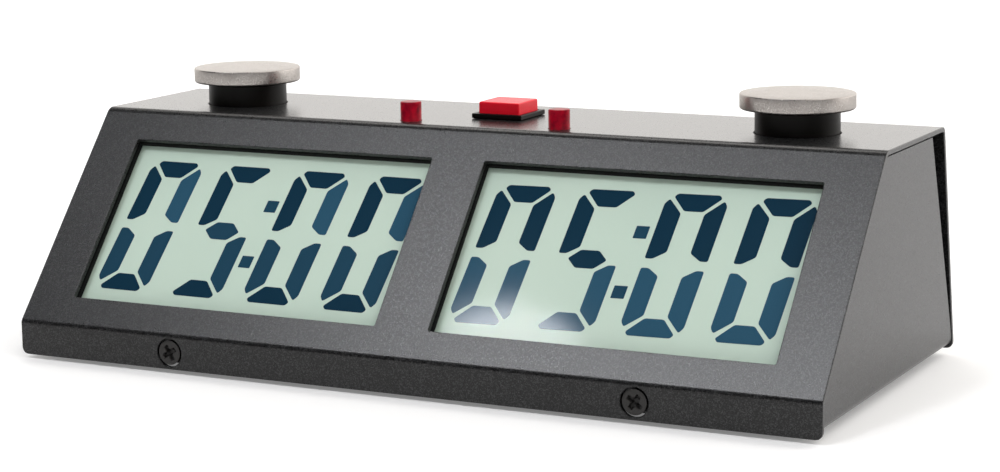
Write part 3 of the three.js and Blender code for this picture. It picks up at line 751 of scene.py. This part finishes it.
def cover_sheet():
    openings = cover_openings()
    rims = [(cover_outline, -1), *((hole.outline, 1) for hole in openings)]
    edge = sheet_edge()
    sheet = FoldedSheet()
    for back, depth, lean in (edge[0], edge[-1]):
        fill_side(sheet, rims, openings, back, depth, lean)
    for outline, sign in rims:
        close_rim(sheet, outline, sign, edge)
    piece = mesh_object("cover_sheet", sheet.verts, sheet.faces, COAT)
    piece.data.normals_split_custom_set_from_vertices(sheet.normals)
    finish_piece(piece, "case", "case_coat", "cover")


# Case screws, feet and the other CAD pieces --------------------------------------------------------------

def recess(px, py):
    """How deep a screw's cross recess is at a point of its head: two tapered arms and a deeper core."""
    across, along = sorted((abs(px), abs(py)))
    arm = max(0.0, 1 - across / (0.62 * MM))
    fade = min(1.0, max(0.0, (2.05 * MM - along) / (0.5 * MM)))
    core = max(0.0, 1 - math.hypot(px, py) / (1.2 * MM))
    return min(1.0, 2.4 * arm * fade) * 1.1 * MM + min(1.0, 1.8 * core) * 0.6 * MM


def screw_head(hand, end, side, turn):
    """A countersunk screw's head with its cross recess, as a dense disc over its shank."""
    face, y = SCREW_PLACES[end]
    matrix = face @ Matrix.Translation((side * SCREW_X, y, 0)) @ Matrix.Rotation(turn, 4, "Z")
    rings, sectors = 30, 128
    dome, shank = 0.12 * MM, 1.7 * MM
    profile = [(SCREW_HEAD * ring / rings, None) for ring in range(1, rings + 1)]
    profile += [
        (SCREW_HEAD + 0.05 * MM, -0.2 * MM),
        (SCREW_HEAD, -0.35 * MM),
        (shank, -1.75 * MM),
        (shank, -6 * MM),
    ]
    verts, faces = [Vector((0, 0, -recess(0, 0)))], []
    for radius, z in profile:
        for i in range(sectors):
            a = 2 * math.pi * i / sectors
            px, py = radius * math.cos(a), radius * math.sin(a)
            top = -dome * (radius / SCREW_HEAD) ** 2 - recess(px, py)
            verts.append(Vector((px, py, top if z is None else z)))
    for i in range(sectors):
        j = (i + 1) % sectors
        faces.append((0, 1 + i, 1 + j))
        for ring in range(len(profile) - 1):
            a = 1 + ring * sectors
            faces.append((a + i, a + sectors + i, a + sectors + j, a + j))
    faces.append(tuple(range(len(verts) - sectors, len(verts))))
    piece = mesh_object(f"{end}_screw_head_{hand}", [matrix @ v for v in verts], faces, SCREW)
    finish_piece(piece, "case", "black_screw", f"{end}_screw_{hand}")


def make_screws():
    for end, turns in (("front", (0.55, 0.95)), ("rear", (0.3, 1.2))):
        for (hand, side), turn in zip(SIDES, turns):
            screw_head(hand, end, side, turn)


def make_feet():
    for end in ("front", "rear"):
        for hand, _ in SIDES:
            node = f"{end}_foot_{hand}"
            low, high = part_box(node)
            centre, radius = (low + high) / 2, (high.x - low.x) / 2
            profile = [
                (0, low.z + 0.25 * MM),
                (radius * 0.45, low.z + 0.25 * MM),
                (radius * 0.55, low.z),
                *arc_points((radius - 1.1 * MM, low.z + 0.6 * MM), 0.6 * MM, -90, -10, 5),
                (radius, high.z - 0.1 * MM),
                (radius - 0.1 * MM, high.z),
                (0, high.z),
            ]
            piece = lathe(f"{end}_rubber_foot_{hand}", profile, RUBBER, centre, 64)
            finish_piece(piece, "case", "foot_rubber", node)


def dress(node, material, bevel=0.0):
    """A CAD piece that stays, with a fine edge radius and its own material."""
    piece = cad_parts[node]
    piece.data.materials.clear()
    piece.data.materials.append(material)
    weld = piece.modifiers.new("weld", "WELD")
    weld.merge_threshold = 0.002 * MM
    if bevel:
        add_bevel(piece, bevel, 35)


# Displays ------------------------------------------------------------------------------------------------

SLANT = 0.083
INK_THICK = 0.05 * MM
DOT_HALF, DOT_HEIGHT = 1.65, 7.95
# How each panel's digits sit in its window: across and up in millimetres, turn in degrees, and pitch.
DIGIT_PLACES = {"left": ((0.79, 0.2), -0.13, 21.38), "right": ((0.54, 0.74), 0.97, 21.57)}


def mirrored(points, x=1, y=1):
    made = [(px * x, py * y) for px, py in points]
    return made[::-1] if x * y < 0 else made


def segment_outlines():
    """The seven segments of one digit, upright, in millimetres from its centre."""
    top = [(-5.2, 18.75), (-5.9, 17.85), (-2.35, 14.15), (2.35, 14.15), (5.9, 17.85), (5.2, 18.75)]
    upper = [(-6.75, 17.25), (-7.7, 15.9), (-7.7, 1.25), (-5.8, 1.25), (-2.9, 3.2), (-2.9, 13.45)]
    lower = [(-2.9, -13.45), (-2.9, -3.2), (-5.8, -1.25), (-7.7, -1.25), (-7.7, -15.3), (-6.75, -16.65)]
    bar = [(-4.9, 0), (-2.3, -2.4), (2.3, -2.4), (4.9, 0), (2.3, 2.4), (-2.3, 2.4)]
    return {
        "a": top,
        "d": mirrored(top, 1, -1),
        "f": upper,
        "b": mirrored(upper, -1, 1),
        "e": lower,
        "c": mirrored(upper, -1, -1),
        "g": bar,
    }


LIT = {"0": "abcdef", "5": "acdfg"}
# Which ink each lit segment has. The lighter inks are painted light, where the studio light glows on each
# panel. The rest of a panel's segments have the plain dark blue.
PAINTED_LIGHT_INKS = {
    "left": {"b": MORE_PAINTED_LIGHT, "c": SOME_PAINTED_LIGHT, "e": SOME_PAINTED_LIGHT, "g": SOME_PAINTED_LIGHT},
    "right": {"c": MORE_PAINTED_LIGHT, "d": MORE_PAINTED_LIGHT, "e": MORE_PAINTED_LIGHT},
}


def prism(verts, faces, outline, low, high, matrix):
    """Adds an outline's upright block to verts and faces, and returns how many faces that is."""
    start, count = len(verts), len(outline)
    for z in (low, high):
        verts += [matrix @ Vector((p[0], p[1], z)) for p in outline]
    faces.append(list(range(start + count, start + 2 * count)))
    faces.append(list(reversed(range(start, start + count))))
    for i in range(count):
        j = (i + 1) % count
        faces.append([start + i, start + j, start + count + j, start + count + i])
    return count + 2


def make_display(hand, side):
    """The laminated panel, and the digits that it shows, as a thin layer on its face."""
    panel_low, panel_high = -GLASS_DEPTH - GLASS_THICK, -GLASS_DEPTH
    half = WINDOW_SIZE / 2 + Vector((GLASS_OVERLAP, GLASS_OVERLAP))
    centre = Vector((side * WINDOW_X, WINDOW_LOW + WINDOW_SIZE.y / 2))
    verts, faces = [], []
    outline = box_outline(centre - half, centre + half, 0.3 * MM)
    prism(verts, faces, outline, panel_low, panel_high, SLOPE)
    panel = mesh_object(f"{hand}_display_panel", verts, faces, GLASS, smooth=False)
    finish_piece(panel, "case", "display_glass", f"{hand}_lcd_panel")

    verts, faces, painted_light_per_face = [], [], []
    shift, turn, pitch = DIGIT_PLACES[hand]
    digits_centre = centre + Vector(shift) * MM
    level = SLOPE @ Matrix.Translation((*digits_centre, 0)) @ Matrix.Rotation(math.radians(turn), 4, "Z")
    shapes = segment_outlines()

    def add(points, middle_x, radius, tone):
        slanted = [Vector((x + middle_x + SLANT * y, y)) for x, y in points]
        outline = [p * MM for p in rounded(slanted, radius)]
        count = prism(verts, faces, outline, panel_high, panel_high + INK_THICK, level)
        painted_light_per_face.extend([tone] * count)

    # Each lit segment and dot takes the plain blue, or one of its lighter copies, which are painted light.
    for place, digit in enumerate("0500"):
        middle_x = (place - 1.5) * pitch
        for name in LIT[digit]:
            add(shapes[name], middle_x, 0.55, PAINTED_LIGHT_INKS[hand].get(name, PLAIN_BLUE))
    corners = [(-DOT_HALF, -DOT_HALF), (DOT_HALF, -DOT_HALF), (DOT_HALF, DOT_HALF), (-DOT_HALF, DOT_HALF)]
    for height in (DOT_HEIGHT, -DOT_HEIGHT):
        add([(x, height + y) for x, y in corners], 0, 0.2, SOME_PAINTED_LIGHT)
    digits = mesh_object(f"{hand}_display_digits", verts, faces, INKS[0], smooth=False)
    for ink in INKS[1:]:
        digits.data.materials.append(ink)
    digits.data.polygons.foreach_set("material_index", painted_light_per_face)
    finish_piece(digits, "case", "display_glass")
    dress(f"{hand}_display_frame", FRAME_PLASTIC, 0.12 * MM)


# Player plungers -----------------------------------------------------------------------------------------

def make_plunger(hand):
    low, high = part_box(f"{hand}_button_disc")
    centre, radius, top = (low + high) / 2, (high.x - low.x) / 2, high.z
    under = top - DISC_THICK
    steel = turned_steel(f"{hand}_turned_steel", centre)
    boss, boss_low = 5 * MM, under - 4.4 * MM
    low_edge, top_edge = 0.5 * MM, 0.28 * MM
    profile = [
        (0, boss_low),
        (boss - 0.4 * MM, boss_low),
        (boss, boss_low + 0.4 * MM),
        (boss, under),
        (radius - 0.75 * MM, under),
        *arc_points((radius - low_edge, under + 0.55 * MM), low_edge, -75, 0, 6),
        *arc_points((radius - top_edge, top - top_edge), top_edge, 0, 90, 6),
        (radius * 0.6, top),
        (radius * 0.2, top),
        (0, top),
    ]
    disc = lathe(f"{hand}_steel_disc", profile, steel, centre, 160)
    finish_piece(disc, f"{hand}_button", "button_steel", f"{hand}_button_disc")

    low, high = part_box(f"{hand}_button_stem")
    shoulder = TOP_Z - 1.5 * MM
    tip, rod, socket, edge = 1.5 * MM, 3 * MM, 5.3 * MM, 0.25 * MM
    profile = [
        (0, low.z),
        (tip - 0.3 * MM, low.z),
        (tip, low.z + 0.3 * MM),
        (tip, low.z + 1.5 * MM),
        (rod, low.z + 2.5 * MM),
        (rod, shoulder - 3 * MM),
        (STEM_FLANGE - 0.2 * MM, shoulder - 3 * MM),
        (STEM_FLANGE, shoulder - 2.8 * MM),
        (STEM_FLANGE, shoulder - 0.2 * MM),
        (STEM_FLANGE - 0.2 * MM, shoulder),
        (STEM_RADIUS, shoulder),
        (STEM_RADIUS, high.z - edge),
        (STEM_RADIUS - edge, high.z),
        (socket, high.z),
        (socket, high.z - 5 * MM),
        (0, high.z - 5 * MM),
    ]
    stem = lathe(f"{hand}_plunger_stem", profile, PLASTIC, centre, 128)
    add_bevel(stem, 0.05 * MM, 30)
    finish_piece(stem, f"{hand}_button", "black_plastic", f"{hand}_button_stem")
    dress(f"{hand}_button_guide", PLASTIC)
    dress(f"{hand}_micro_switch", PLASTIC, 0.1 * MM)
    dress(f"{hand}_switch_lever", SPRING_STEEL)
    make_spring(f"{hand}_return_spring", f"{hand}_button", centre, 0.7 * MM)


SPRING_TURNS = 4
CLOSED_TURNS = 0.7
CLOSED_RISE = 0.12


def make_spring(name, button, centre, wire):
    """A coil spring with closed ends that rests on the case."""
    low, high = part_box(f"{button}_spring")
    radius = (high.x - low.x) / 2 - wire
    steps, sides = SPRING_TURNS * 28, 10
    verts, faces = [], []
    for i in range(steps + 1):
        t = i / steps
        angle = 2 * math.pi * SPRING_TURNS * t
        ease = min(1.0, max(0.0, (t * SPRING_TURNS - CLOSED_TURNS) / (SPRING_TURNS - 2 * CLOSED_TURNS)))
        rise = CLOSED_RISE * t + (1 - CLOSED_RISE) * ease
        z = low.z + wire + (high.z - low.z - 2 * wire) * rise
        out = Vector((math.cos(angle), math.sin(angle), 0))
        hub = Vector((centre[0], centre[1], z)) + out * radius
        for k in range(sides):
            a = 2 * math.pi * k / sides
            verts.append(hub + out * (wire * math.cos(a)) + Vector((0, 0, wire * math.sin(a))))
    for i in range(steps):
        for k in range(sides):
            a, b = i * sides + k, i * sides + (k + 1) % sides
            faces.append((a, a + sides, b + sides, b))
    faces.append(tuple(range(sides)))
    faces.append(tuple(range(steps * sides, (steps + 1) * sides))[::-1])
    piece = mesh_object(name, verts, faces, SPRING_STEEL)
    finish_piece(piece, "case", "spring_steel", f"{button}_spring")
    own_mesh(piece)


# Red push button and lamps -------------------------------------------------------------------------------

def make_centre():
    low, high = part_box("centre_button_cap")
    centre, half = (low + high) / 2, (high.x - low.x) / 2
    block_low = low.z + 3 * MM
    loops = [
        (block_low, half - 0.15 * MM),
        (block_low + 0.15 * MM, half),
        (high.z - 0.4 * MM, half - 0.05 * MM),
        (high.z - 0.15 * MM, half - 0.12 * MM),
        (high.z - 0.04 * MM, half - 0.25 * MM),
        (high.z, half - 0.45 * MM),
    ]
    verts, faces = [], []
    for z, reach in loops:
        corner = Vector((reach, reach))
        outline = box_outline(centre.xy - corner, centre.xy + corner, 0.5 * MM, 5)
        verts += [Vector((p[0], p[1], z)) for p in outline]
    count = len(verts) // len(loops)
    for k in range(len(loops) - 1):
        for i in range(count):
            j = (i + 1) % count
            faces.append((k * count + i, k * count + j, (k + 1) * count + j, (k + 1) * count + i))
    faces.append(tuple(range((len(loops) - 1) * count, len(loops) * count)))
    faces.append(tuple(range(count))[::-1])
    cap = mesh_object("red_button_cap", verts, faces, RED)
    even_normals(cap)
    finish_piece(cap, "centre_button", "red_button", "centre_button_cap")
    stalk_radius, stalk_top = 1.6 * MM, block_low - 0.02 * MM
    profile = [
        (0, low.z),
        (stalk_radius - 0.2 * MM, low.z),
        (stalk_radius, low.z + 0.2 * MM),
        (stalk_radius, stalk_top),
        (0, stalk_top),
    ]
    stalk = lathe("red_button_stalk", profile, RED, centre, 40)
    finish_piece(stalk, "centre_button", "red_button")
    dress("centre_button_housing", PLASTIC, 0.2 * MM)
    make_spring("centre_return_spring", "centre_button", centre, 0.35 * MM)


def make_lamp(hand):
    low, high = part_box(f"{hand}_lamp")
    centre = (low + high) / 2
    flange, floor = (high.x - low.x) / 2, TOP_Z - 3.9 * MM
    lens = flange - 0.6 * MM
    profile = [
        (0, floor),
        (flange - 0.1 * MM, floor),
        (flange, floor + 0.1 * MM),
        (flange, floor + 0.9 * MM),
        (flange - 0.1 * MM, floor + 1 * MM),
        (lens, floor + 1 * MM),
        *arc_points((lens - 0.3 * MM, high.z - 0.3 * MM), 0.3 * MM, 0, 90, 5),
        (lens * 0.5, high.z - 0.01 * MM),
        (0, high.z - 0.02 * MM),
    ]
    lamp = lathe(f"{hand}_lamp_lens", profile, LAMP, centre, 72)
    finish_piece(lamp, "case", "red_lamp", f"{hand}_lamp")
    verts, faces = [], []
    for x in (-1.27 * MM, 1.27 * MM):
        corners = [(-1, -1), (1, -1), (1, 1), (-1, 1)]
        leg = [(a * 0.25 * MM, b * 0.25 * MM) for a, b in corners]
        at = Matrix.Translation((centre.x + x, centre.y, 0))
        prism(verts, faces, leg, low.z, floor - 0.02 * MM, at)
    legs = mesh_object(f"{hand}_lamp_legs", verts, faces, SPRING_STEEL, smooth=False)
    finish_piece(legs, "case", "spring_steel")


# Everything inside and underneath ------------------------------------------------------------------------

def dress_the_rest():
    chip = coloured("chip_plastic", (0.02, 0.02, 0.02), 0.5)
    cell = coloured("cell_jacket", (0.03, 0.16, 0.35), 0.3)
    dress("base_tray", COAT, 0.2 * MM)
    dress("battery_door", PLASTIC, 0.25 * MM)
    dress("battery_holder", PLASTIC, 0.2 * MM)
    dress("main_board", BOARD)
    dress("top_board", BOARD)
    dress("controller_chip", chip, 0.2 * MM)
    dress("buzzer", chip)
    dress("board_ribbon", coloured("ribbon", (0.4, 0.4, 0.38), 0.6))
    dress("battery_lead_red", coloured("red_wire", (0.5, 0.01, 0.01), 0.4))
    wire = coloured("black_wire", (0.02, 0.02, 0.02), 0.4)
    dress("battery_lead_black", wire)
    strip = coloured("contact_rubber", (0.3, 0.31, 0.3), 0.8)
    metal = [
        "timing_crystal",
        "battery_positive_contact",
        "battery_negative_contact",
        "battery_link_contact",
        "battery_middle_contact_front",
        "battery_middle_contact_rear",
    ]
    for hand, _ in SIDES:
        dress(f"{hand}_switch_cable", wire)
        for end in ("upper", "lower"):
            dress(f"{hand}_contact_strip_{end}", strip)
            metal.append(f"board_screw_{hand}_{end}")
        for row in ("front", "rear"):
            dress(f"battery_cell_{row}_{hand}", cell)
    for node in metal:
        dress(node, SPRING_STEEL)


def make_floor():
    reach = 3.0
    verts = [(-reach, -reach, 0), (reach, -reach, 0), (reach, reach, 0), (-reach, reach, 0)]
    floor = mesh_object("floor", verts, [(0, 1, 2, 3)], floor_paper(), smooth=False)


make_camera()
make_world()
make_floor()
cover_sheet()
make_screws()
make_feet()
for hand, side in SIDES:
    make_display(hand, side)
    make_plunger(hand)
    make_lamp(hand)
make_centre()
dress_the_rest()
